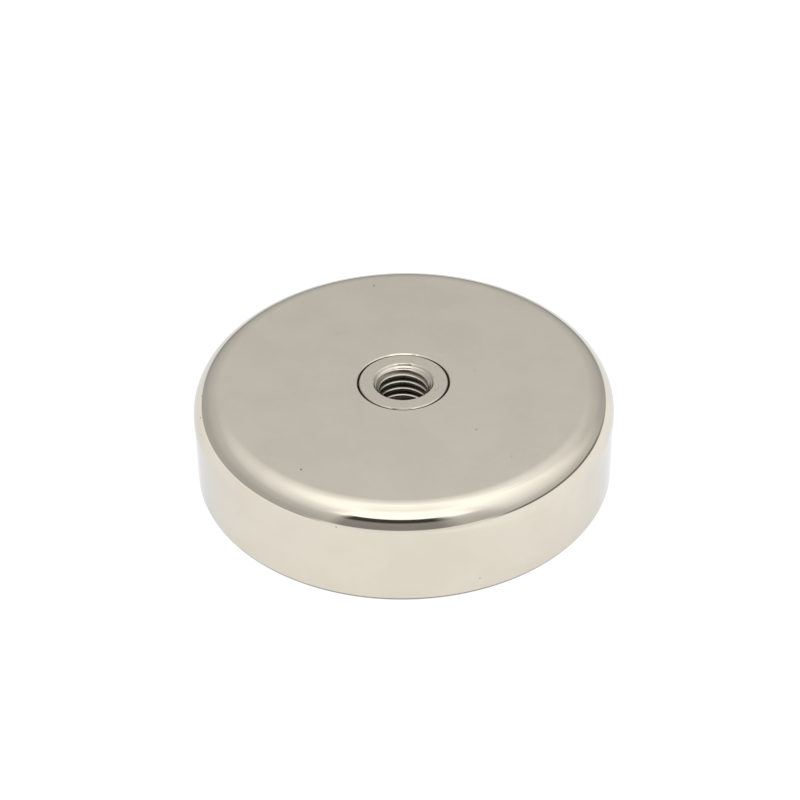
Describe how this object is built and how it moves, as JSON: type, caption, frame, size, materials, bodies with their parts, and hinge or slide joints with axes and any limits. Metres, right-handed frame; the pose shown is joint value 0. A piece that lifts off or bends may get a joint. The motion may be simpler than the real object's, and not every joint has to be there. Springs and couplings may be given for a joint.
{
  "type": "magnet fishing magnet",
  "caption": "Round single-sided pot magnet for magnet fishing: a nickel-plated steel cup round a neodymium disc, with a flush threaded bush in its back for an eyebolt.",
  "frame": {"origin": "centre of the pulling face, in the plane of the cup's rim", "axes": "+Z along the thread's axis, from the pulling face to the threaded back; X and Y are any pair square to it"},
  "size_m": [0.075, 0.075, 0.018],
  "materials": {
    "nickel_plated_steel": "polished",
    "turned_bush_steel": "satin",
    "nickel_plated_magnet": "satin",
    "structural_adhesive": "matte",
    "potting_resin": "gloss"
  },
  "bodies": {
    "root": {"pot_shell": "nickel_plated_steel", "threaded_bush": "turned_bush_steel", "magnet_disc": "nickel_plated_magnet", "adhesive_film": "structural_adhesive", "potting_ring": "potting_resin"}
  },
  "joints": []
}
